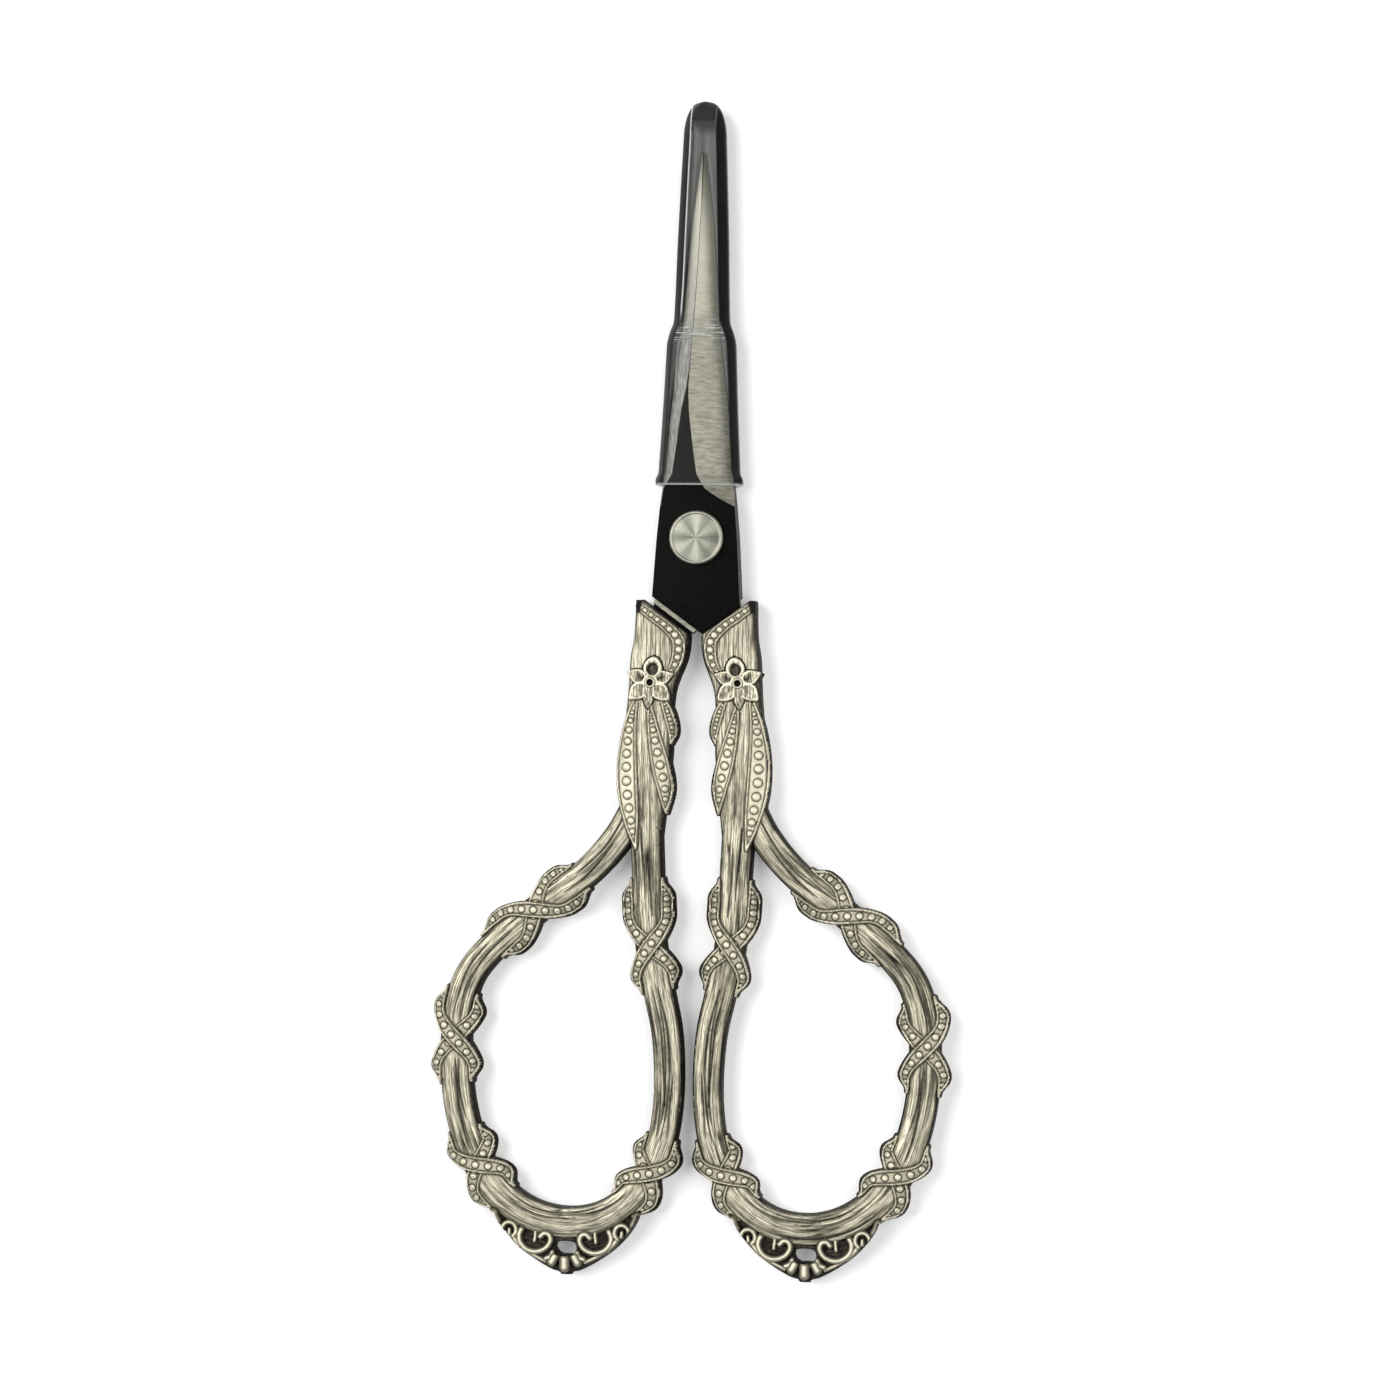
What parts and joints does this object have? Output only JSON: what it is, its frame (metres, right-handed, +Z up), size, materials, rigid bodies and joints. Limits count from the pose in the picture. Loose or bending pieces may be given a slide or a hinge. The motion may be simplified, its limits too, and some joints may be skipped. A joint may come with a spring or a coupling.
{
  "type": "embroidery scissors",
  "caption": "Small ornate embroidery scissors with black blades, cast silver ribbon-wound finger bows and a clear sleeve over the closed points.",
  "frame": {"origin": "centre of the part's box, on the surface it lies on, closed with the sleeve on", "axes": "+Y from the bows to the points, +X to the right seen from above, +Z up along the pivot screw"},
  "size_m": [0.0576, 0.129, 0.0044],
  "materials": {
    "antique_silver": "zinc casting, silver plated and brushed, dark oxide left in the recesses",
    "black_steel": "gloss black coated steel with bright ground bevels",
    "bright_steel": "face turned steel with a polished rim",
    "clear_plastic": "clear soft vinyl, slightly smoky at the edges"
  },
  "bodies": {
    "lower_half": {"lower_blade": "black_steel", "left_handle_front": "antique_silver", "left_handle_back": "antique_silver", "left_flower_front": "antique_silver", "left_flower_back": "antique_silver", "left_tang_rivet": "antique_silver", "pivot_screw": "bright_steel", "pivot_nut": "bright_steel"},
    "upper_half": {"upper_blade": "black_steel", "right_handle_front": "antique_silver", "right_handle_back": "antique_silver", "right_flower_front": "antique_silver", "right_flower_back": "antique_silver", "right_tang_rivet": "antique_silver"},
    "guard": {"blade_guard": "clear_plastic"}
  },
  "joints": [
    {"name": "pivot", "type": "hinge", "parent": "lower_half", "child": "upper_half", "pos_m": [0, 0.01615, 0.0022], "axis": [0, 0, 1], "range_deg": [0, 50], "deforming": ["blade_guard"]},
    {"name": "guard_slide", "type": "slide", "parent": "lower_half", "child": "guard", "axis": [0, 1, 0], "range_m": [0, 0.05]}
  ],
  "couplings": [
    {"joint": "guard_slide", "follows": "pivot", "m_per_rad": 0.057}
  ]
}
